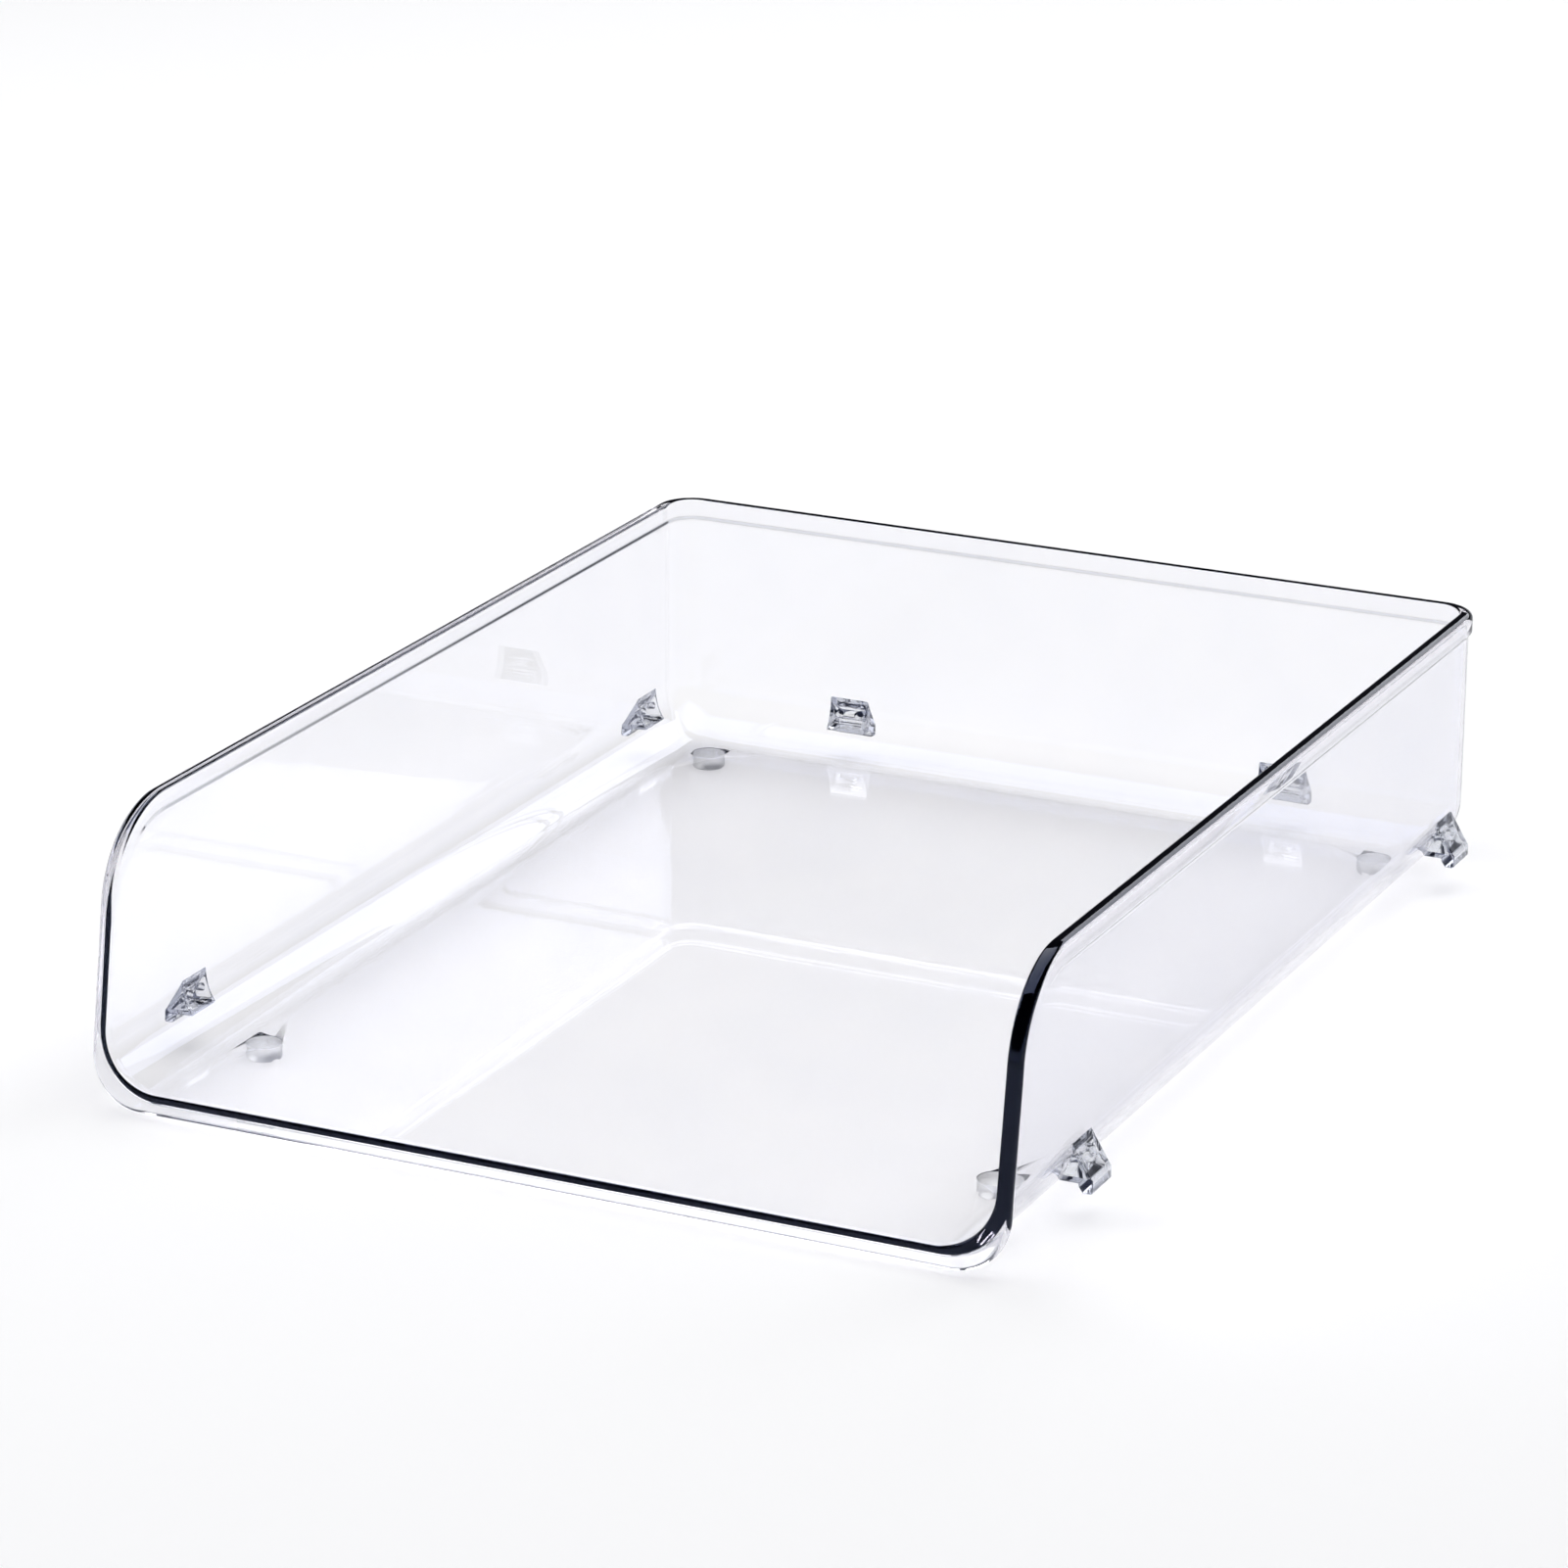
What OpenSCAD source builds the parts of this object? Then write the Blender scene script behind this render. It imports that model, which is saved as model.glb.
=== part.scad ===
// Clear stackable letter tray: an open-fronted shell with six stacking clips and four foot pads.
// Millimetres, +Z up, front towards -Y. The origin is on the desk, at the middle of the whole object.

/* [Tray] */
// Width over the rim
tray_w = 250; // [245:1:280]
// Depth over the rim
tray_d = 331; // [315:1:360]
// Height of the rim above the desk
tray_h = 75.5; // [65:0.5:95]
// Thickness of the walls
wall_t = 3; // [2.6:0.1:3.4]
// Thickness of the floor
floor_t = 2; // [1.6:0.1:2.6]
// Outer radius of the bend between the floor and the walls
base_r = 17; // [16:0.5:19]
// Outer radius of the two upright corners at the back
corner_r = 10; // [8:0.5:11]
// Height of the floor's underside above the desk
floor_gap = 4; // [3.5:0.5:5]

/* [Open edge] */
// Lean of the upright front edges back from the vertical, in degrees
edge_lean = 8.5; // [4:0.5:12]
// Radius of the bend from the upright front edges into the rim
edge_bend_r = 27; // [18:1:32]
// Height of the thicker band below the rim
band_h = 6; // [4:0.5:8]
// Front-to-back thickness of the lip
band_depth = 2.2; // [1.6:0.1:3]
// How far the band stands out from the wall
band_proud = 1; // [0.6:0.1:1.2]
// How far the front lip hangs below the floor's underside
lip_drop = 2.5; // [1:0.5:3]
// How far the front lip rises above the floor
lip_rise = 1; // [0.5:0.5:1.5]
// Outer radius of the lip's two lower corners
lip_corner_r = 14; // [13:1:16]

/* [Stacking clips] */
// Width of a clip along the wall
clip_w = 12; // [10:1:14]
// How far a clip stands out from the wall
clip_reach = 5.6; // [5:0.1:6.5]
// Height of the clip's sloping outer face
clip_slope_h = 8.4; // [7.5:0.1:9]
// Height of the clip's bearing face, which sits on the rim of the tray below
bearing_z = 10.8; // [10:0.1:11]
// Length of the clip's leg below the bearing face
leg_h = 2.4; // [2:0.1:4]
// Play between the leg and the rim of the tray below
leg_play = 0.8; // [0.4:0.1:1]
// Front edge of the tray to the middle of the front clips
clip_front_inset = 48; // [40:1:70]
// Back of the rim to the middle of the rear side clips
clip_rear_inset = 24; // [18:1:40]
// Distance between the two clips on the back wall
back_clip_spacing = 134; // [80:1:180]
// Thickness of the clip's own walls, round the pocket in its inner face
clip_skin = 1.3; // [1.2:0.1:1.6]
// Diameter of the clip's two locating pins
pin_d = 2.2; // [1.6:0.1:2.4]
// Distance between the two locating pins
pin_spacing = 6; // [5:0.5:7]

/* [Foot pads] */
// Diameter of a pad
pad_d = 9.4; // [8:0.1:10]
// Depth of the seat that holds a pad in the floor's underside
pad_seat = 0.6; // [0.4:0.1:1]
// Radius of the pad's lower edge
pad_edge_r = 0.8; // [0.4:0.1:1.2]
// Outer face of the side wall to the middle of a pad
pad_inset = 22; // [21:0.5:40]

/* [Hidden] */
$fn = 96;

left = -1;
right = 1;
clear_plastic = [0.90, 0.94, 0.97, 0.35];
clip_plastic = [0.84, 0.88, 0.92, 0.55];
pad_silicone = [0.80, 0.83, 0.86, 0.60];

// Outer faces of the side and back walls, and the front of the lip
wall_x = tray_w / 2 - band_proud;
front_y = -(tray_d + clip_reach - band_proud) / 2;
wall_y = front_y + tray_d - band_proud;

// Heights
floor_top = floor_gap + floor_t;
lip_z = floor_gap - lip_drop;
bend_z = floor_gap + base_r;
leg_z = bearing_z - leg_h;

// Centre of the bend at the top of the upright front edges, in the side view
edge_bend_z = tray_h - edge_bend_r;
edge_bend_y = front_y + (edge_bend_z - lip_z) * tan(edge_lean) + edge_bend_r / cos(edge_lean);

// Places of the clips and pads
side_front_y = front_y + clip_front_inset;
side_rear_y = front_y + tray_d - clip_rear_inset;
back_clip_x = back_clip_spacing / 2;
pad_x = wall_x - pad_inset;

// Locating pins and their sockets
pin_z = bend_z - 5;
pin_deep = 1.4;
pin_play = 0.1;
pin_wall_u = sqrt(base_r * base_r - pow(bend_z - pin_z, 2)) - base_r;
pad_play = 0.15;
leg_bevel = 0.5;
lead_in_h = 1.6;
lead_in_u = 1.2;

// Pocket in the clip's inner face; skin_u is the sloping wall's thickness measured level
pocket_drop = 3;
slope_run = (clip_reach - leg_bevel) / clip_slope_h;
skin_u = clip_skin * sqrt(1 + slope_run * slope_run);
pin_end_u = slope_u(pin_z) - skin_u / 2;

// Room that cutting shapes reach past the solids they cut
past = 10;

// Front view of the tray's outline, with its two lower corners rounded
module front_outline(half_w, z0, z1, r) {
    translate([-half_w + r, z0]) square([2 * (half_w - r), z1 - z0]);
    translate([-half_w, z0 + r]) square([2 * half_w, z1 - z0 - r]);
    for (side = [left, right])
        translate([side * (half_w - r), z0 + r]) circle(r = r);
}

// Plan of the tray's outline, with its two back corners rounded
module plan_outline(half_w, back, r) {
    y0 = front_y - past;
    translate([-half_w, y0]) square([2 * half_w, back - r - y0]);
    translate([-half_w + r, y0]) square([2 * (half_w - r), back - y0]);
    for (side = [left, right])
        translate([side * (half_w - r), back - r]) circle(r = r);
}

// Side view of the tray's outline, with its lower back corner rounded
module back_outline(back, z0, z1, r) {
    y0 = front_y - past;
    translate([y0, z0]) square([back - r - y0, z1 - z0]);
    translate([y0, z0 + r]) square([back - y0, z1 - z0 - r]);
    translate([back - r, z0 + r]) circle(r = r);
}

// Solid block with rounded lower edges and back corners; out is its offset from the wall's outer face
module tub(out, z0, z1, bottom_r, upright_r) {
    half_w = wall_x + out;
    back = wall_y + out;
    intersection() {
        translate([0, back, 0]) rotate([90, 0, 0])
            linear_extrude(height = back - front_y + past) front_outline(half_w, z0, z1, bottom_r);
        translate([0, 0, z0])
            linear_extrude(height = z1 - z0) plan_outline(half_w, back, upright_r);
        rotate([90, 0, 90]) translate([0, 0, -half_w])
            linear_extrude(height = 2 * half_w) back_outline(back, z0, z1, bottom_r);
    }
}

// Side view of everything behind the open edge and below the rim
module side_outline() {
    low_z = -past;
    far_y = wall_y + 3 * past;
    tangent_y = edge_bend_y - edge_bend_r * cos(edge_lean);
    tangent_z = edge_bend_z + edge_bend_r * sin(edge_lean);
    translate([edge_bend_y, edge_bend_z]) circle(r = edge_bend_r);
    polygon([
        [front_y + (low_z - lip_z) * tan(edge_lean), low_z],
        [far_y, low_z],
        [far_y, tray_h],
        [edge_bend_y, tray_h],
        [edge_bend_y, edge_bend_z],
        [tangent_y, tangent_z]
    ]);
}

// The side outline across the whole width, moved back and down by a step
module behind_edge(step_y, step_z) {
    translate([0, step_y, step_z]) rotate([90, 0, 90]) translate([0, 0, -tray_w])
        linear_extrude(height = 2 * tray_w) side_outline();
}

// The space for paper; it leaves the lip standing a little above the floor
module cavity() {
    inner_r = base_r - floor_t;
    inner_corner_r = corner_r - wall_t;
    over = tray_h + past;
    tub(-wall_t, floor_top + lip_rise, over, inner_r, inner_corner_r);
    intersection() {
        tub(-wall_t, floor_top, over, inner_r, inner_corner_r);
        behind_edge(band_depth, -band_h);
    }
}

// Thicker band along the rim, the upright front edges and the lip
module edge_band() {
    difference() {
        intersection() {
            tub(band_proud, lip_z, tray_h, lip_corner_r, corner_r + band_proud);
            behind_edge(0, 0);
        }
        behind_edge(band_depth, -band_h);
    }
}

// Moves a shape made at a wall's outer face, with +X away from the wall, to its place on the tray
module on_side(side, y) {
    translate([side * wall_x, y, 0]) rotate([0, 0, side == right ? 0 : 180]) children();
}

module on_back(x) {
    translate([x, wall_y, 0]) rotate([0, 0, 90]) children();
}

// The two locating pins of one clip, out to end_u, or with play their sockets in the wall
module locating_pins(play, end_u) {
    start_u = pin_wall_u - pin_deep - play;
    for (side = [left, right])
        translate([start_u, side * pin_spacing / 2, pin_z]) rotate([0, 90, 0])
            cylinder(d = pin_d + 2 * play, h = end_u - start_u);
}

module pin_sockets() {
    for (side = [left, right])
        for (y = [side_front_y, side_rear_y])
            on_side(side, y) locating_pins(pin_play, pin_wall_u + 1);
    for (side = [left, right])
        on_back(side * back_clip_x) locating_pins(pin_play, pin_wall_u + 1);
}

module pad_seats() {
    for (side = [left, right])
        for (y = [side_front_y, side_rear_y])
            translate([side * pad_x, y, floor_gap - 1])
                cylinder(d = pad_d + 2 * pad_play, h = pad_seat + 1);
}

module tray_shell() {
    color(clear_plastic)
        difference() {
            union() {
                intersection() {
                    tub(0, floor_gap, tray_h, base_r, corner_r);
                    behind_edge(0, 0);
                }
                edge_band();
            }
            cavity();
            pin_sockets();
            pad_seats();
        }
}

// End view of a clip: a sloping face, a leg outside the rim of the tray below, and a bearing face on it
module clip_outline() {
    leg_u = band_proud + leg_play;
    inboard = base_r / 2;
    difference() {
        polygon([
            [0, bend_z],
            [clip_reach - leg_bevel, bend_z - clip_slope_h],
            [clip_reach, bend_z - clip_slope_h - leg_bevel],
            [clip_reach, leg_z + leg_bevel],
            [clip_reach - leg_bevel, leg_z],
            [leg_u + lead_in_u, leg_z],
            [leg_u, leg_z + lead_in_h],
            [leg_u, bearing_z],
            [-inboard, bearing_z],
            [-inboard, bend_z]
        ]);
        translate([-base_r, bend_z]) circle(r = base_r);
    }
}

// How far the clip's sloping face stands out from the wall at height z
function slope_u(z) = (bend_z - z) * slope_run;

// End view of the pocket, which is open towards the wall
module pocket_outline() {
    inboard = base_r / 2;
    low_z = bearing_z + clip_skin;
    high_z = bend_z - pocket_drop;
    polygon([
        [-inboard, low_z],
        [slope_u(low_z) - skin_u, low_z],
        [slope_u(high_z) - skin_u, high_z],
        [-inboard, high_z]
    ]);
}

// Draws an end view out to a width along the wall
module along_wall(width) {
    translate([0, width / 2, 0]) rotate([90, 0, 0])
        linear_extrude(height = width) children();
}

// One stacking clip: hollow, with its inner face curved to the tray's bend and two pins through the pocket
module clip() {
    color(clip_plastic) {
        difference() {
            along_wall(clip_w) clip_outline();
            along_wall(clip_w - 2 * clip_skin) pocket_outline();
        }
        locating_pins(0, pin_end_u);
    }
}

// One foot pad, with a rounded lower edge
module foot_pad() {
    pad_r = pad_d / 2;
    color(pad_silicone)
        rotate_extrude() {
            square([pad_r - pad_edge_r, floor_gap + pad_seat]);
            translate([0, pad_edge_r]) square([pad_r, floor_gap + pad_seat - pad_edge_r]);
            translate([pad_r - pad_edge_r, pad_edge_r]) circle(r = pad_edge_r);
        }
}

module clip_left_front() { on_side(left, side_front_y) clip(); }
module clip_left_rear() { on_side(left, side_rear_y) clip(); }
module clip_right_front() { on_side(right, side_front_y) clip(); }
module clip_right_rear() { on_side(right, side_rear_y) clip(); }
module clip_back_left() { on_back(-back_clip_x) clip(); }
module clip_back_right() { on_back(back_clip_x) clip(); }
module foot_pad_left_front() { translate([-pad_x, side_front_y, 0]) foot_pad(); }
module foot_pad_left_rear() { translate([-pad_x, side_rear_y, 0]) foot_pad(); }
module foot_pad_right_front() { translate([pad_x, side_front_y, 0]) foot_pad(); }
module foot_pad_right_rear() { translate([pad_x, side_rear_y, 0]) foot_pad(); }

tray_shell();
clip_left_front();
clip_left_rear();
clip_right_front();
clip_right_rear();
clip_back_left();
clip_back_right();
foot_pad_left_front();
foot_pad_left_rear();
foot_pad_right_front();
foot_pad_right_rear();
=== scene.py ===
import math

import bmesh
import bpy
from mathutils import Matrix, Vector


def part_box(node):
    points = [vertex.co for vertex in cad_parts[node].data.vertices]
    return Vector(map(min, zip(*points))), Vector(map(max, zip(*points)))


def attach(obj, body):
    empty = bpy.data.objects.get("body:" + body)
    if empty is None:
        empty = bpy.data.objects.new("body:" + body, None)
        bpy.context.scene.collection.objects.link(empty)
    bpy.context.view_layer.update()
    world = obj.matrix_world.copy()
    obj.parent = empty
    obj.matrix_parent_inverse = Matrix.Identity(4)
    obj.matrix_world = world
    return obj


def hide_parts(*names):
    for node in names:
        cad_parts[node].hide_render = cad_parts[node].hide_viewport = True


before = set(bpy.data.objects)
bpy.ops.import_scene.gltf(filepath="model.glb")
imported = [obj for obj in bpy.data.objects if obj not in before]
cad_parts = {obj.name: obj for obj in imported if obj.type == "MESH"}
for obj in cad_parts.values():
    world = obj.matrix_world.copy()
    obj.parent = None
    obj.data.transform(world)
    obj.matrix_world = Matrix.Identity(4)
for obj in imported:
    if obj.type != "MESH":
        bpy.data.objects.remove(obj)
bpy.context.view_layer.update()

# The tray's meshes are built in millimetres, and each is scaled to metres when it is finished.
# Places come from the CAD nodes' boxes. Sizes are the CAD part's own, apart from the small roundings,
# soft steps and gaps that only the looks need.
MM = 0.001


def corners(node):
    """A CAD node's lowest and highest corners."""
    return [[round(v / MM, 2) for v in corner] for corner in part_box(node)]


def middle(node, axis):
    """The middle of a CAD node's box along one axis."""
    low, high = corners(node)
    return (low[axis] + high[axis]) / 2


def lerp(a, b, t):
    return a + (b - a) * t


# The shell's thickness, and the outside radii of its bends
WALL_T = 3.0
FLOOR_T = 2.0
BASE_R = 17.0
CORNER_R = 10.0
LIP_R = 14.0
# The upright front edges lean back and bend into the rim
LEAN = math.radians(8.5)
EDGE_R = 27.0
# The band along the rim and the front edges, and how far it stands out from the walls
BAND_H = 6.0
BAND_D = 2.2
RIM_PROUD = 1.0
# How far the lip reaches below the floor's underside and above its top
LIP_DROP = 2.5
LIP_RISE = 1.0

(_, FRONT_Y, LIP_Z), (HALF_W, RIM_Y, HEIGHT) = corners("tray_shell")
WALL_X = HALF_W - RIM_PROUD
WALL_Y = RIM_Y - RIM_PROUD
GAP = LIP_Z + LIP_DROP
FLOOR_TOP = GAP + FLOOR_T
LIP_TOP = FLOOR_TOP + LIP_RISE
LIP_X = HALF_W - LIP_R
BEND_X = WALL_X - BASE_R
BEND_Z = GAP + BASE_R
INNER_R = BASE_R - FLOOR_T
INNER_X = WALL_X - WALL_T - INNER_R
CORNER_X = WALL_X - CORNER_R
CORNER_Y = WALL_Y - CORNER_R

# Where the side clips are, front and rear. Each has a foot pad beside it.
SIDE_Y = (middle("clip_right_front", 1), middle("clip_right_rear", 1))
# Foot pads, their seats in the floor, and the play round a pad
PAD_X = middle("foot_pad_right_front", 0)
PAD_R = 4.7
PAD_EDGE = 0.8
PAD_SEAT = 0.6
SEAT_PLAY = 0.15


# Mesh helpers
def new_object(name, bm, material, replaced):
    """Makes a piece from a bmesh in millimetres, and rides it on the one body."""
    bmesh.ops.scale(bm, vec=(MM, MM, MM), verts=bm.verts)
    bmesh.ops.recalc_face_normals(bm, faces=bm.faces)
    mesh = bpy.data.meshes.new(name)
    bm.to_mesh(mesh)
    bm.free()
    for p in mesh.polygons:
        p.use_smooth = True
    obj = bpy.data.objects.new(name, mesh)
    bpy.context.scene.collection.objects.link(obj)
    mesh.materials.append(material)
    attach(obj, "root")
    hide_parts(replaced)
    return obj


def add_grid(bm, rows):
    """Joins rows of vertices with quads, or triangles where two rows share a vertex."""
    for a, b in zip(rows, rows[1:]):
        for k in range(len(a) - 1):
            face = []
            for v in (a[k], a[k + 1], b[k + 1], b[k]):
                if v not in face:
                    face.append(v)
            if len(face) > 2:
                bm.faces.new(face)


def circle_verts(bm, cx, cy, r, z, n=48):
    turns = [k * 2 * math.pi / n for k in range(n)]
    return [bm.verts.new((cx + r * math.cos(a), cy + r * math.sin(a), z)) for a in turns]


def join_loops(bm, a, b):
    """Joins two closed loops of vertices with quads."""
    for k in range(len(a)):
        j = (k + 1) % len(a)
        bm.faces.new((a[k], a[j], b[j], b[k]))


def loop_edges(bm, loop):
    """The edges round a closed loop of vertices, made where they are missing."""
    out = []
    for a, b in zip(loop, loop[1:] + loop[:1]):
        out.append(bm.edges.get((a, b)) or bm.edges.new((a, b)))
    return out


# Materials
class Nodes:
    """A short way to make and link the nodes of an emptied shader tree."""

    def __init__(self, tree, output="ShaderNodeOutputMaterial"):
        self.tree = tree
        self.tree.nodes.clear()
        self.out = self.add(output)

    def add(self, kind, **values):
        """Makes a node. A value sets the node's property of that name, or else its input."""
        n = self.tree.nodes.new(kind)
        for key, v in values.items():
            if hasattr(n, key):
                setattr(n, key, v)
            else:
                n.inputs[key.replace("_", " ")].default_value = v
        return n

    def link(self, a, b):
        self.tree.links.new(a, b)

    def ramp(self, source, stops):
        """Turns a number into the colours, or the grey levels, of (position, value) stops."""
        r = self.add("ShaderNodeValToRGB")
        el = r.color_ramp.elements
        while len(el) < len(stops):
            el.new(0.5)
        for e, (pos, col) in zip(el, stops):
            e.position = pos
            e.color = (*col, 1) if isinstance(col, tuple) else (col, col, col, 1)
        self.link(source, r.inputs["Fac"])
        return r.outputs["Color"]


def new_material(name):
    mat = bpy.data.materials.new(name)
    mat.use_nodes = True
    return mat, Nodes(mat.node_tree)


# Colour of a gloss, which stays fainter and bluer than the light it mirrors
GLINT = (0.35, 0.42, 0.72, 1.0)
# Light that passes a surface into its shadow, from square on to edge on
SHADE = [(0.0, 0.96), (0.6, 0.9), (0.85, 0.5), (1.0, 0.1)]
# Noise scales per metre: flow waves of the moulding, smears of handling, and hairline scratches
FLOW_SCALE = 16.0
SMEAR_SCALE = 34.0
HAIR_SCALE = (90.0, 2600.0, 700.0)
HAIR_TURN = (0.0, 0.0, 0.5)
# Noise levels between which each of them sets in
TINT_FROM, TINT_TO = 0.35, 0.7
HAZE_FROM, HAZE_TO = 0.45, 0.75
HAIR_FROM, HAIR_TO = 0.66, 0.8
HAIR_DEPTH = 2.0


def clear_plastic(name, tints, ior, rough, haze, absorb, density, wave):
    """Moulded clear plastic.

    tints are the clean and the smeared colour, rough and haze the roughness of the same two,
    absorb and density the colour in the depth, and wave the strength of the flow waves.
    """
    mat, m = new_material(name)
    place = m.add("ShaderNodeTexCoord").outputs["Object"]
    flow = m.add("ShaderNodeTexNoise", Scale=FLOW_SCALE, Detail=2.0, Roughness=0.4)
    smear = m.add("ShaderNodeTexNoise", Scale=SMEAR_SCALE, Detail=6.0, Roughness=0.62)
    hair = m.add("ShaderNodeTexNoise", Scale=1.0, Detail=3.0, Roughness=0.7)
    stretch = m.add("ShaderNodeMapping", Scale=HAIR_SCALE, Rotation=HAIR_TURN)
    m.link(place, flow.inputs["Vector"])
    m.link(place, smear.inputs["Vector"])
    m.link(place, stretch.inputs["Vector"])
    m.link(stretch.outputs["Vector"], hair.inputs["Vector"])

    bsdf = m.add(
        "ShaderNodeBsdfPrincipled", Transmission_Weight=1.0, IOR=ior, Specular_Tint=GLINT
    )
    tint = m.ramp(smear.outputs["Fac"], [(TINT_FROM, tints[0]), (TINT_TO, tints[1])])
    m.link(tint, bsdf.inputs["Base Color"])
    soft = m.ramp(smear.outputs["Fac"], [(HAZE_FROM, rough), (HAZE_TO, haze)])
    line = m.ramp(hair.outputs["Fac"], [(HAIR_FROM, 0.0), (HAIR_TO, haze * HAIR_DEPTH)])
    both = m.add("ShaderNodeMath", operation="MAXIMUM")
    m.link(soft, both.inputs[0])
    m.link(line, both.inputs[1])
    m.link(both.outputs[0], bsdf.inputs["Roughness"])
    bump = m.add("ShaderNodeBump", Strength=wave, Distance=MM)
    m.link(flow.outputs["Fac"], bump.inputs["Height"])
    m.link(bump.outputs["Normal"], bsdf.inputs["Normal"])

    # a shadow ray passes straight through, so that the plastic casts only a faint shadow
    slant = m.add("ShaderNodeLayerWeight", Blend=0.5)
    through = m.add("ShaderNodeBsdfTransparent")
    m.link(m.ramp(slant.outputs["Facing"], SHADE), through.inputs["Color"])
    mix = m.add("ShaderNodeMixShader")
    m.link(m.add("ShaderNodeLightPath").outputs["Is Shadow Ray"], mix.inputs[0])
    m.link(bsdf.outputs[0], mix.inputs[1])
    m.link(through.outputs[0], mix.inputs[2])
    m.link(mix.outputs[0], m.out.inputs["Surface"])
    depth = m.add("ShaderNodeVolumeAbsorption", Color=(*absorb, 1.0), Density=density)
    m.link(depth.outputs[0], m.out.inputs["Volume"])
    return mat


shell_mat = clear_plastic(
    "shell_clear",
    tints=((0.96, 0.963, 0.98), (0.935, 0.942, 0.967)),
    ior=1.52,
    rough=0.0,
    haze=0.03,
    absorb=(0.66, 0.64, 0.72),
    density=45.0,
    wave=0.02,
)
clip_mat = clear_plastic(
    "clip_clear",
    tints=((0.975, 0.985, 0.995), (0.95, 0.965, 0.98)),
    ior=1.52,
    rough=0.02,
    haze=0.06,
    absorb=(0.5, 0.52, 0.6),
    density=130.0,
    wave=0.03,
)
pad_mat = clear_plastic(
    "pad_silicone",
    tints=((0.96, 0.965, 0.975), (0.92, 0.93, 0.945)),
    ior=1.41,
    rough=0.3,
    haze=0.45,
    absorb=(0.5, 0.52, 0.56),
    density=6.0,
    wave=0.05,
)


# The tray shell
#
# Its right half is swept along the open edge: the lip, the bend, the upright edge, the bend into
# the rim, the side's rim, the back corner and the back's rim. A station is a place along that edge.
# It gives at(f), four points across the edge: the inner wall, the band's inside, the band's outside
# and the outer wall, moved f of the way from the edge to the band's far side. It also gives the
# band's width there.
def edge_start():
    """Centre of the bend at the top of the upright front edges, in the side view."""
    cz = HEIGHT - EDGE_R
    return FRONT_Y + (cz - LIP_Z) * math.tan(LEAN) + EDGE_R / math.cos(LEAN), cz


EDGE_Y, EDGE_Z = edge_start()
FRONT_BAND = BAND_D * math.cos(LEAN) + BAND_H * math.sin(LEAN)


def front_line(z, f):
    """Y of the leaning front edge at height z, moved f of the way to the band's inner edge."""
    return FRONT_Y + (z + BAND_H * f - LIP_Z) * math.tan(LEAN) + BAND_D * f


def lip_station(t):
    ends = ((INNER_X, FLOOR_TOP), (INNER_X, LIP_TOP), (LIP_X, LIP_Z), (BEND_X, GAP))

    def at(f):
        return [Vector((x * t, front_line(z, f), z)) for x, z in ends]

    return at, FRONT_BAND


# Centre x and z, and radius, of the bend at each of the four points
BENDS = (
    (INNER_X, BEND_Z, INNER_R),
    (INNER_X, LIP_TOP + INNER_R, INNER_R),
    (LIP_X, LIP_Z + LIP_R, LIP_R),
    (BEND_X, BEND_Z, BASE_R),
)


def bend_station(t):
    a = t * math.pi / 2

    def at(f):
        out = []
        for cx, cz, r in BENDS:
            z = cz - r * math.cos(a)
            out.append(Vector((cx + r * math.sin(a), front_line(z, f), z)))
        return out

    return at, FRONT_BAND


# How far out from the middle each of the four points is on the walls
SIDES = (WALL_X - WALL_T, WALL_X - WALL_T, HALF_W, WALL_X)


def upright_station(t):
    top = EDGE_Z + EDGE_R * math.sin(LEAN)

    def at(f):
        out = []
        for x, (_, cz, _) in zip(SIDES, BENDS):
            z = lerp(cz, top - BAND_H * f, t)
            out.append(Vector((x, front_line(z, f), z)))
        return out

    return at, FRONT_BAND


def arc_station(t):
    a = math.pi - LEAN - t * (math.pi / 2 - LEAN)
    y = EDGE_Y + EDGE_R * math.cos(a)
    z = EDGE_Z + EDGE_R * math.sin(a)

    def at(f):
        return [Vector((x, y + BAND_D * f, z - BAND_H * f)) for x in SIDES]

    return at, abs(BAND_D * math.cos(a) - BAND_H * math.sin(a))


def rim_station(t):
    def at(f):
        y = lerp(EDGE_Y + BAND_D * f, CORNER_Y, t)
        return [Vector((x, y, HEIGHT - BAND_H * f)) for x in SIDES]

    return at, BAND_H


def corner_station(t):
    a = t * math.pi / 2

    def at(f):
        z = HEIGHT - BAND_H * f
        radii = [x - CORNER_X for x in SIDES]
        return [Vector((CORNER_X + r * math.cos(a), CORNER_Y + r * math.sin(a), z)) for r in radii]

    return at, BAND_H


def back_station(t):
    def at(f):
        z = HEIGHT - BAND_H * f
        return [Vector((CORNER_X * (1 - t), CORNER_Y + x - CORNER_X, z)) for x in SIDES]

    return at, BAND_H


# Steps along each stretch of the edge
N_LIP, N_BEND, N_UP, N_ARC, N_RIM, N_CORNER, N_BACK = 6, 20, 8, 24, 18, 14, 8
STRETCHES = (
    (lip_station, N_LIP),
    (bend_station, N_BEND),
    (upright_station, N_UP),
    (arc_station, N_ARC),
    (rim_station, N_RIM),
    (corner_station, N_CORNER),
    (back_station, N_BACK),
)
stations = [station(k / n) for station, n in STRETCHES for k in range(n)]
stations.append(back_station(1))
FIRST_WALL = N_LIP
LAST_WALL = N_LIP + N_BEND + N_UP + N_ARC

# The edge's two rounded corners, and half the width of the soft steps from the band to the walls
INNER_EDGE_R, OUTER_EDGE_R = 0.9, 1.7
INNER_STEP, OUTER_STEP = 0.6, 1.2
ROUND_STEPS = 5
# A soft step: the place across it, from 1 on the wall's side to -1, and how far it has risen
STEP = ((1.0, 0.0), (0.55, 0.08), (0.18, 0.32), (-0.18, 0.68), (-0.55, 0.92), (-1.0, 1.0))


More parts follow.
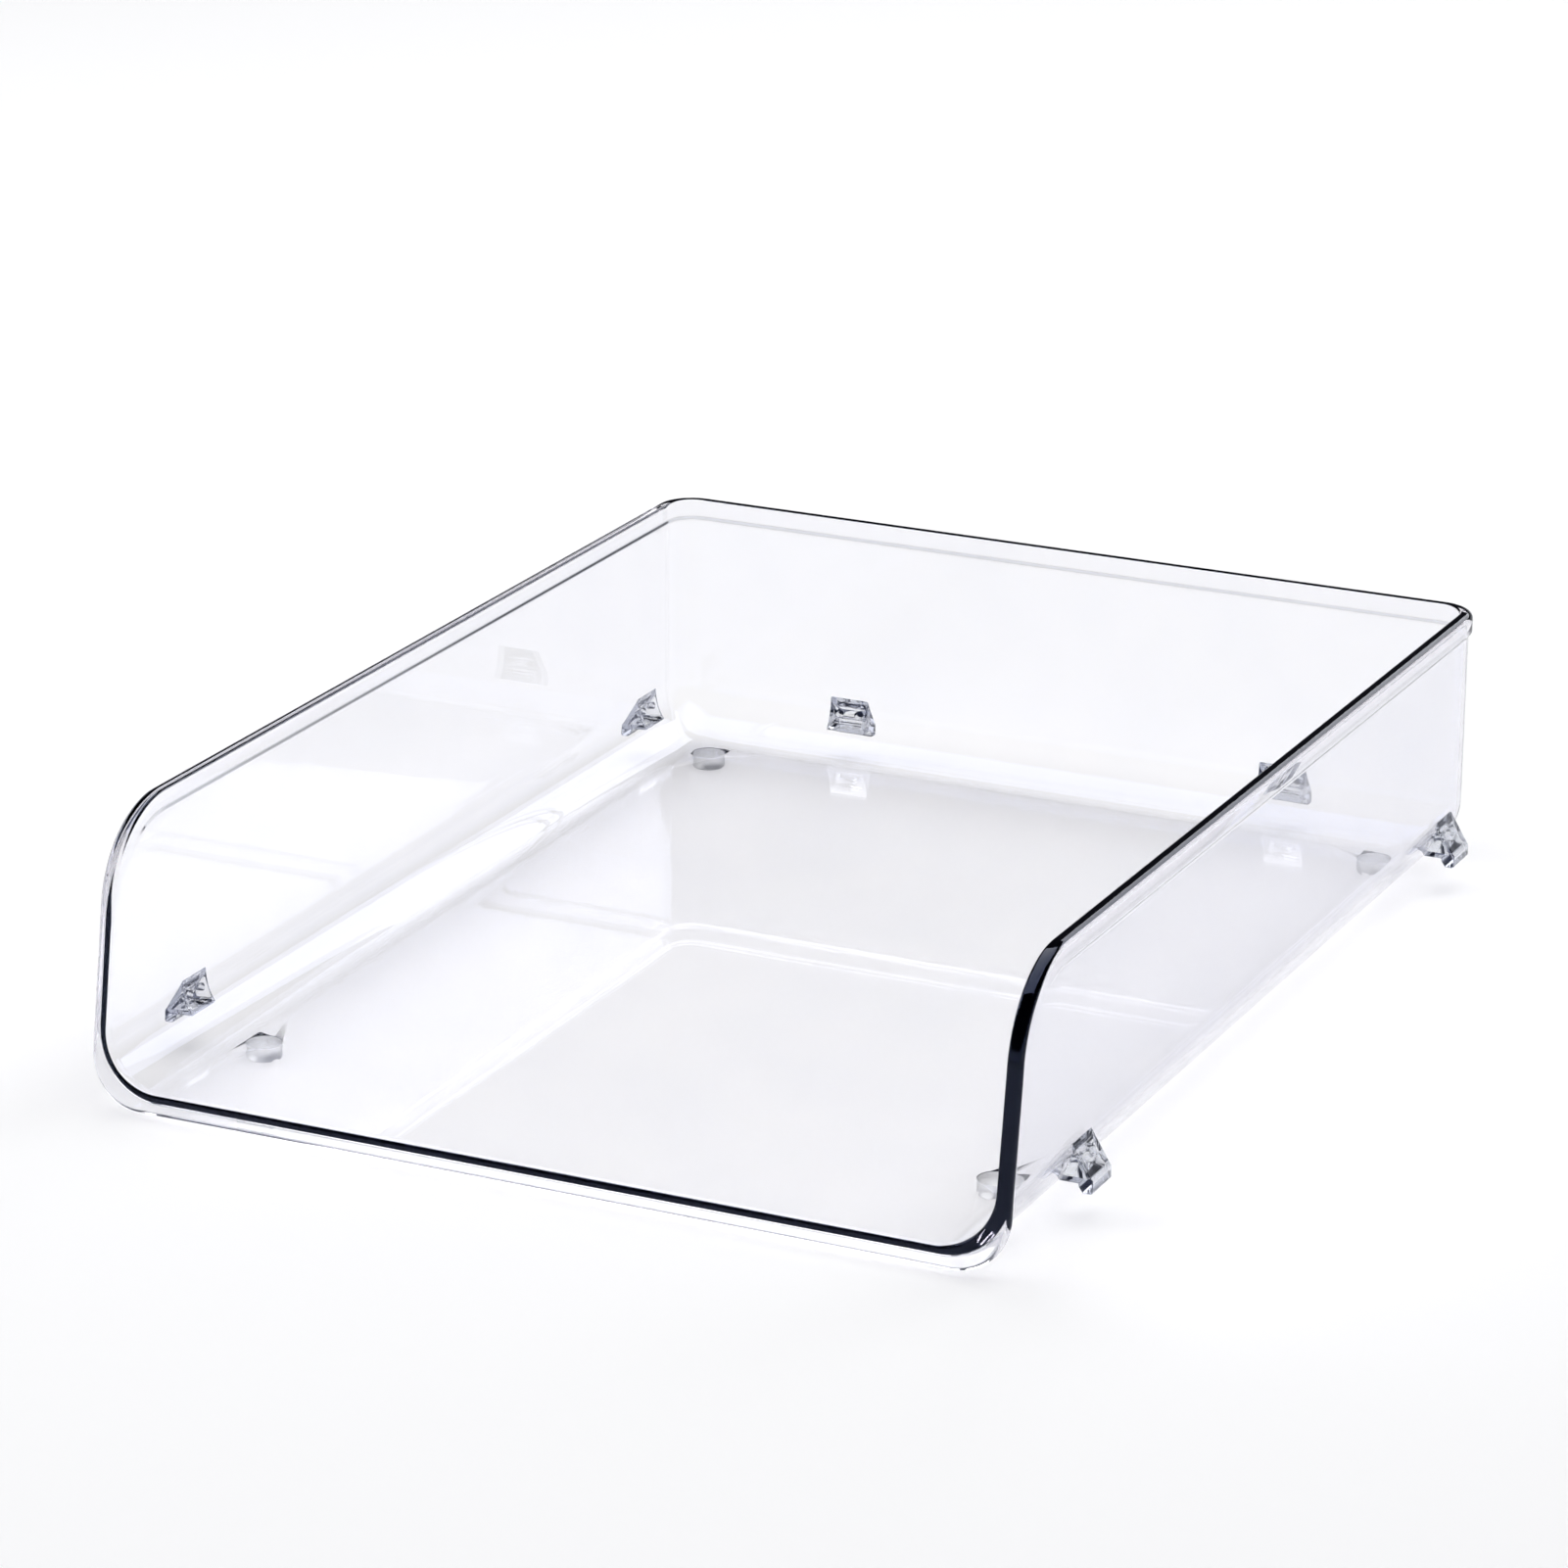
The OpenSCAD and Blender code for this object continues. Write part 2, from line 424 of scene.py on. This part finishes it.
def edge_section(at, width):
    """The section across the open edge at one station, from the inner wall to the outer wall."""

    def rounded(start, end, r):
        """The edge's round corner between two of the four points."""
        out = []
        for k in range(ROUND_STEPS + 1):
            a = k * math.pi / 2 / ROUND_STEPS
            p = at(r * (1 - math.sin(a)) / width)
            out.append(p[start] + (p[end] - p[start]).normalized() * r * (1 - math.cos(a)))
        return out

    def stepped(wall, band, half):
        """The soft step from a wall up to the band."""
        places = [(at(1 + d * half / width), rise) for d, rise in STEP]
        return [p[wall].lerp(p[band], rise) for p, rise in places]

    path = stepped(0, 1, INNER_STEP) + rounded(1, 2, INNER_EDGE_R)
    return path + rounded(2, 1, OUTER_EDGE_R)[::-1] + stepped(3, 2, OUTER_STEP)[::-1]


def wall_row(bm, front, out, r):
    """One level of a wall, from its front vertex round the back corner to the middle of the back.

    out is how far the wall's face stands out from the outer face, r is the radius of its bend.
    """
    z = front.co.z
    drop = max(0.0, BEND_Z - z)
    inward = out - r + math.sqrt(max(0.0, r * r - drop * drop))
    corner_r = CORNER_R + out
    cx = WALL_X + inward - corner_r
    cy = WALL_Y + inward - corner_r
    row = [front]
    for k in range(1, N_RIM + 1):
        row.append(bm.verts.new((cx + corner_r, lerp(front.co.y, cy, k / N_RIM), z)))
    for k in range(1, N_CORNER + 1):
        a = k / N_CORNER * math.pi / 2
        row.append(bm.verts.new((cx + corner_r * math.cos(a), cy + corner_r * math.sin(a), z)))
    for k in range(1, N_BACK + 1):
        row.append(bm.verts.new((cx * (1 - k / N_BACK), cy + corner_r, z)))
    return row


def add_walls(bm, strips, column, out, r):
    """One face of the walls, down to the floor. Returns the outline that it leaves for the floor.

    column is the vertex of each strip across the edge that the face starts from.
    """
    rows = [wall_row(bm, s[column], out, r) for s in strips[FIRST_WALL:LAST_WALL]]
    rows.append([s[column] for s in strips[LAST_WALL:]])
    add_grid(bm, rows)
    return [s[column] for s in strips[:FIRST_WALL]] + rows[0]


def add_seat(bm, y):
    """A foot pad's round seat in the floor's underside. Returns the edges round its mouth."""
    mouth = circle_verts(bm, PAD_X, y, PAD_R + SEAT_PLAY, GAP)
    top = circle_verts(bm, PAD_X, y, PAD_R + SEAT_PLAY, GAP + PAD_SEAT)
    join_loops(bm, mouth, top)
    bm.faces.new(top)
    return loop_edges(bm, mouth)


def build_shell():
    bm = bmesh.new()
    strips = [[bm.verts.new(p) for p in edge_section(at, width)] for at, width in stations]
    add_grid(bm, strips)
    bm.faces.new(add_walls(bm, strips, 0, -WALL_T, INNER_R))
    edges = loop_edges(bm, add_walls(bm, strips, -1, 0.0, BASE_R))
    for y in SIDE_Y:
        edges += add_seat(bm, y)
    bmesh.ops.triangle_fill(bm, use_beauty=True, edges=edges)
    # the left half is the right half's mirror image
    geom = bmesh.ops.duplicate(bm, geom=bm.verts[:] + bm.edges[:] + bm.faces[:])["geom"]
    for v in geom:
        if isinstance(v, bmesh.types.BMVert):
            v.co.x = -v.co.x
    bmesh.ops.reverse_faces(bm, faces=[f for f in geom if isinstance(f, bmesh.types.BMFace)])
    bmesh.ops.remove_doubles(bm, verts=bm.verts, dist=1e-4)
    return bm


shell = new_object("shell", build_shell(), shell_mat, "tray_shell")
weighted = shell.modifiers.new("flat faces", "WEIGHTED_NORMAL")
weighted.keep_sharp = True


# Stacking clips: hollow mouldings, open towards the wall, with two pins through the pocket.
# In a clip, u points out from the wall, v along it and z up.
CLIP_W = 12.0
CLIP_REACH = 5.6
CLIP_SKIN = 1.3
SLOPE_H = 8.4
# The face that rests on the tray below, and the leg outside it with its bevel and lead-in
BEARING_Z = 10.8
LEG_H = 2.4
LEG_U = 1.8
LEG_BEVEL = 0.5
SLOPE = (CLIP_REACH - LEG_BEVEL) / SLOPE_H
LEAD_U = 1.2
LEAD_H = 1.6
# The pocket's lowest and highest level, and the pins that cross it
POCKET_DROP = 3.0
POCKET_Z = (BEARING_Z + CLIP_SKIN, BEND_Z - POCKET_DROP)
PIN_DROP = 5.0
PIN_Z = BEND_Z - PIN_DROP
PIN_V = 3.0
PIN_R = 1.1
PIN_SIDES = 24
# The air between a clip and the wall, so that their faces don't coincide
AIR = 0.03
# Levels of the inner face beside the pocket and above it
N_POCKET, N_ABOVE = 8, 4
# The rounding of the outer edges, and the least angle that an edge has to have for it
SOFT_R = 0.35
SOFT_ANGLE = math.radians(28)


def bend_u(z):
    """How far the wall's bend stands out at height z, with a hair of air in front of it."""
    r = BASE_R + AIR
    return math.sqrt(r * r - (BEND_Z - z) ** 2) - BASE_R


def slope_u(z):
    """The inside of the sloping wall at height z."""
    return (BEND_Z - z) * SLOPE - CLIP_SKIN * math.hypot(1, SLOPE)


def clip_outline():
    """The clip's end view without its inner face, from the top round to the bearing face."""
    slope_z = BEND_Z - SLOPE_H
    leg_z = BEARING_Z - LEG_H
    tip_u = CLIP_REACH - LEG_BEVEL
    return [
        (tip_u, slope_z),
        (CLIP_REACH, slope_z - LEG_BEVEL),
        (CLIP_REACH, leg_z + LEG_BEVEL),
        (tip_u, leg_z),
        (LEG_U + LEAD_U, leg_z),
        (LEG_U, leg_z + LEAD_H),
        (LEG_U, BEARING_Z),
    ]


def build_clip(place):
    """One clip, with the weights that soften its outer edges."""
    bm = bmesh.new()

    def vert(u, v, z):
        return bm.verts.new(place @ Vector((u, v, z)))

    # the inner face, in four columns of vertices with the pocket between the middle two
    low, high = POCKET_Z
    levels = [BEARING_Z]
    levels += [lerp(low, high, k / N_POCKET) for k in range(N_POCKET + 1)]
    levels += [lerp(high, BEND_Z, k / N_ABOVE) for k in range(1, N_ABOVE + 1)]
    half = CLIP_W / 2
    columns = [-half, CLIP_SKIN - half, half - CLIP_SKIN, half]
    inner = [[vert(bend_u(z), v, z) for v in columns] for z in levels]
    for i in range(len(levels) - 1):
        for k in range(3):
            if k == 1 and 1 <= i <= N_POCKET:
                continue
            bm.faces.new((inner[i][k], inner[i][k + 1], inner[i + 1][k + 1], inner[i + 1][k]))
    # the outer faces
    ends = [[vert(u, v, z) for u, z in clip_outline()] for v in (columns[0], columns[-1])]
    bm.faces.new(inner[-1] + [ends[1][0], ends[0][0]])
    for k in range(len(ends[0]) - 1):
        bm.faces.new((ends[0][k], ends[0][k + 1], ends[1][k + 1], ends[1][k]))
    bm.faces.new([ends[0][-1], ends[1][-1]] + inner[0][::-1])
    for end, column in ((0, 0), (1, -1)):
        bm.faces.new(ends[end] + [row[column] for row in inner])
    bmesh.ops.recalc_face_normals(bm, faces=bm.faces)
    weight = bm.edges.layers.float.new("bevel_weight_edge")
    for e in bm.edges:
        if e.calc_face_angle(0) > SOFT_ANGLE:
            e[weight] = 1.0
    # the pocket
    mouth = inner[1 : N_POCKET + 2]
    back = [[vert(slope_u(z), v, z) for v in columns[1:3]] for z in POCKET_Z]
    for row, deep in ((mouth[0], back[0]), (mouth[-1], back[1])):
        bm.faces.new((row[1], row[2], deep[1], deep[0]))
    for k in (0, 1):
        bm.faces.new([row[k + 1] for row in mouth] + [back[1][k], back[0][k]])
    edges = loop_edges(bm, [back[0][0], back[0][1], back[1][1], back[1][0]])
    # the pins
    for middle_v in (-PIN_V, PIN_V):
        turns = [k * 2 * math.pi / PIN_SIDES for k in range(PIN_SIDES)]
        circle = [(middle_v + PIN_R * math.cos(a), PIN_Z + PIN_R * math.sin(a)) for a in turns]
        root = [vert(slope_u(z), v, z) for v, z in circle]
        tip = [vert(bend_u(z), v, z) for v, z in circle]
        join_loops(bm, root, tip)
        bm.faces.new(tip)
        edges += loop_edges(bm, root)
    bmesh.ops.triangle_fill(bm, use_beauty=True, edges=edges)
    return bm


def on_side(side, y):
    """Places a clip on the left wall, side -1, or the right wall, side 1."""
    turn = Matrix.Rotation(0 if side > 0 else math.pi, 4, "Z")
    return Matrix.Translation((side * WALL_X, y, 0)) @ turn


def on_back(x):
    return Matrix.Translation((x, WALL_Y, 0)) @ Matrix.Rotation(math.pi / 2, 4, "Z")


BACK_X = middle("clip_back_right", 0)
places = {
    "clip_left_front": on_side(-1, SIDE_Y[0]),
    "clip_left_rear": on_side(-1, SIDE_Y[1]),
    "clip_right_front": on_side(1, SIDE_Y[0]),
    "clip_right_rear": on_side(1, SIDE_Y[1]),
    "clip_back_left": on_back(-BACK_X),
    "clip_back_right": on_back(BACK_X),
}
for name, place in places.items():
    clip = new_object(name + "_moulded", build_clip(place), clip_mat, name)
    soft = clip.modifiers.new("soft edges", "BEVEL")
    soft.width = SOFT_R * MM
    soft.segments = 3
    soft.limit_method = "WEIGHT"
    soft.use_clamp_overlap = False
    clip.modifiers.new("flat faces", "WEIGHTED_NORMAL")


# Foot pads: the rounding at the top, the air over a pad, and the flat ring and shallow dish of the sole
PAD_TOP_R = 0.25
PAD_AIR = 0.02
SOLE_W = 0.8
DISH_W = 0.5
DISH_H = 0.12


def build_pad(x, y):
    """A turned pad with a rounded lower edge and a slightly dished sole."""
    bm = bmesh.new()
    top = GAP + PAD_SEAT - PAD_AIR
    profile = []
    for k in range(3):
        a = k * math.pi / 4
        r = PAD_R - PAD_TOP_R + PAD_TOP_R * math.sin(a)
        profile.append((r, top - PAD_TOP_R + PAD_TOP_R * math.cos(a)))
    for k in range(7):
        a = k * math.pi / 12
        profile.append((PAD_R - PAD_EDGE + PAD_EDGE * math.cos(a), PAD_EDGE - PAD_EDGE * math.sin(a)))
    sole_r = PAD_R - PAD_EDGE - SOLE_W
    profile.append((sole_r, 0.0))
    profile.append((sole_r - DISH_W, DISH_H))
    rings = [circle_verts(bm, x, y, r, z) for r, z in profile]
    for a, b in zip(rings, rings[1:]):
        join_loops(bm, a, b)
    bm.faces.new(rings[0])
    bm.faces.new(rings[-1])
    return bm


for side, word in ((-1, "left"), (1, "right")):
    for y, end in zip(SIDE_Y, ("front", "rear")):
        name = f"foot_pad_{word}_{end}"
        mesh = build_pad(side * PAD_X, y)
        pad = new_object(name + "_turned", mesh, pad_mat, name)
        pad.modifiers.new("flat faces", "WEIGHTED_NORMAL")


# Floor: its radius in metres, and its colour
FLOOR_R = 9.0
FLOOR_COLOUR = (0.92, 0.92, 0.924, 1.0)


def floor_material():
    mat, m = new_material("pale_floor")
    bsdf = m.add(
        "ShaderNodeBsdfPrincipled", Base_Color=FLOOR_COLOUR, Roughness=0.9, Specular_IOR_Level=0.1
    )
    m.link(bsdf.outputs[0], m.out.inputs["Surface"])
    return mat


def build_floor():
    bm = bmesh.new()
    bmesh.ops.create_circle(bm, cap_ends=True, segments=128, radius=FLOOR_R)
    mesh = bpy.data.meshes.new("floor")
    bm.to_mesh(mesh)
    bm.free()
    mesh.materials.append(floor_material())
    return bpy.data.objects.new("floor", mesh)


floor = build_floor()
bpy.context.scene.collection.objects.link(floor)


# Lights: name, place, the point it faces, size in metres and power in watts
SOFTBOXES = (
    ("overhead", (0.0, 0.4, 2.4), (0, 0, 0), (3.0, 3.0), 72),
    ("left", (-2.2, -0.6, 1.5), (0, 0, 0), (1.4, 1.6), 24),
    ("behind", (0.5, 2.6, 1.4), (0, 0.1, 0), (2.4, 0.9), 18.5),
)


def softbox(name, at, to, size, power):
    data = bpy.data.lights.new(name, "AREA")
    data.shape = "RECTANGLE"
    data.size, data.size_y = size
    data.energy = power
    obj = bpy.data.objects.new(name, data)
    obj.location = at
    obj.rotation_mode = "QUATERNION"
    obj.rotation_quaternion = (Vector(to) - Vector(at)).to_track_quat("-Z", "Y")
    bpy.context.scene.collection.objects.link(obj)


for box in SOFTBOXES:
    softbox(*box)

# The studio round the tray, by the height looked at: bright near the horizon and dark above
STUDIO = [
    (0.0, (0.9, 0.9, 0.92)),
    (0.12, (0.75, 0.76, 0.79)),
    (0.2, (0.03, 0.03, 0.04)),
    (1.0, (0.008, 0.01, 0.018)),
]


def studio_world():
    world = bpy.data.worlds.new("studio")
    world.use_nodes = True
    m = Nodes(world.node_tree, "ShaderNodeOutputWorld")
    split = m.add("ShaderNodeSeparateXYZ")
    m.link(m.add("ShaderNodeTexCoord").outputs["Generated"], split.inputs[0])
    back = m.add("ShaderNodeBackground", Strength=1.0)
    m.link(m.ramp(split.outputs["Z"], STUDIO), back.inputs["Color"])
    m.link(back.outputs[0], m.out.inputs["Surface"])
    return world


bpy.context.scene.world = studio_world()
bpy.context.scene.view_settings.view_transform = "Standard"

# Camera: the point it aims at, its distance from there, and its angles in degrees. The aim is given
# from the middle of the lip's lower edge, in metres.
AIM = (0.0, 0.14227, 0.06054)
DISTANCE = 1.56909
AZIMUTH = 25.2232
ELEVATION = 18.9011
ROLL = 0.4172
LENS = 138.98
SENSOR = 36.0


def place_camera():
    data = bpy.data.cameras.new("camera")
    data.sensor_width = SENSOR
    data.lens = LENS
    data.clip_start, data.clip_end = 0.01, 50.0
    turn = Matrix.Rotation(math.radians(AZIMUTH), 4, "Z")
    turn @= Matrix.Rotation(math.radians(90 - ELEVATION), 4, "X")
    turn @= Matrix.Rotation(math.radians(ROLL), 4, "Z")
    aim = Vector(AIM) + Vector((0, FRONT_Y, LIP_Z)) * MM
    cam = bpy.data.objects.new("camera", data)
    bpy.context.scene.collection.objects.link(cam)
    cam.matrix_world = Matrix.Translation(aim) @ turn @ Matrix.Translation((0, 0, DISTANCE))
    return cam


bpy.context.scene.camera = place_camera()
